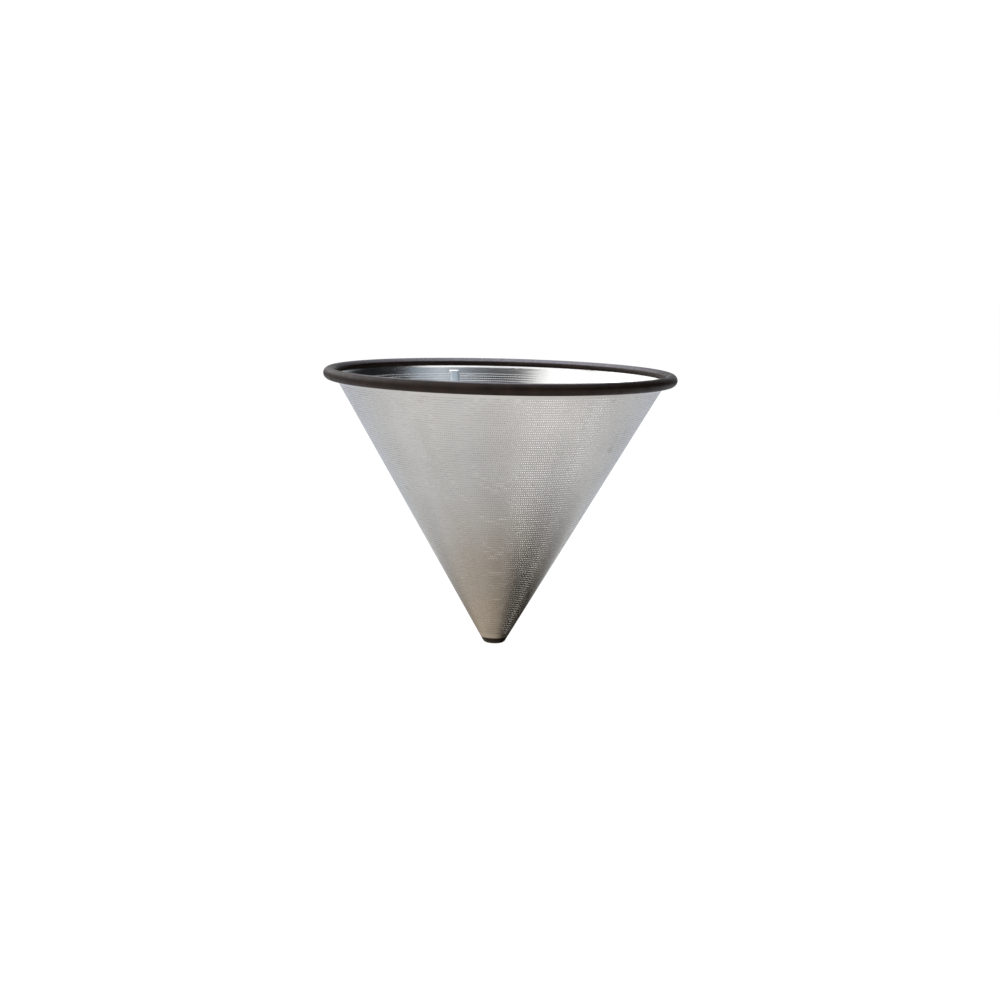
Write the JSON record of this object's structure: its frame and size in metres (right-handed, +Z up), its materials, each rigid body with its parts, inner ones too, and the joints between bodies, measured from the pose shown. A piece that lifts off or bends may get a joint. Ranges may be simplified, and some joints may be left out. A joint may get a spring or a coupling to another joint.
{
  "type": "reusable cone coffee filter",
  "caption": "Reusable pour-over coffee filter: a perforated steel cone on a point, with a soft bead round its open rim, a soft plug in its tip and a backing strip along its inner seam.",
  "frame": {"origin": "centre of the flat face at the tip, on the cone's axis, where the tip would meet a table", "axes": "+Z up the cone's axis from the tip to the open rim; +Y away from the viewer, with the inner seam strip 18 degrees from +Y towards -X"},
  "size_m": [0.125, 0.125, 0.098],
  "materials": {
    "etched_steel": "satin etched stainless sheet, 0.2 mm, finely perforated",
    "strip_steel": "smooth bright stainless strip",
    "bead_rubber": "dark brown silicone, semi-matt",
    "plug_rubber": "near-black brown silicone, semi-matt"
  },
  "bodies": {
    "root": {"filter_cone": "etched_steel", "seam_strip": "strip_steel", "rim_bead": "bead_rubber", "tip_plug": "plug_rubber"}
  },
  "joints": []
}
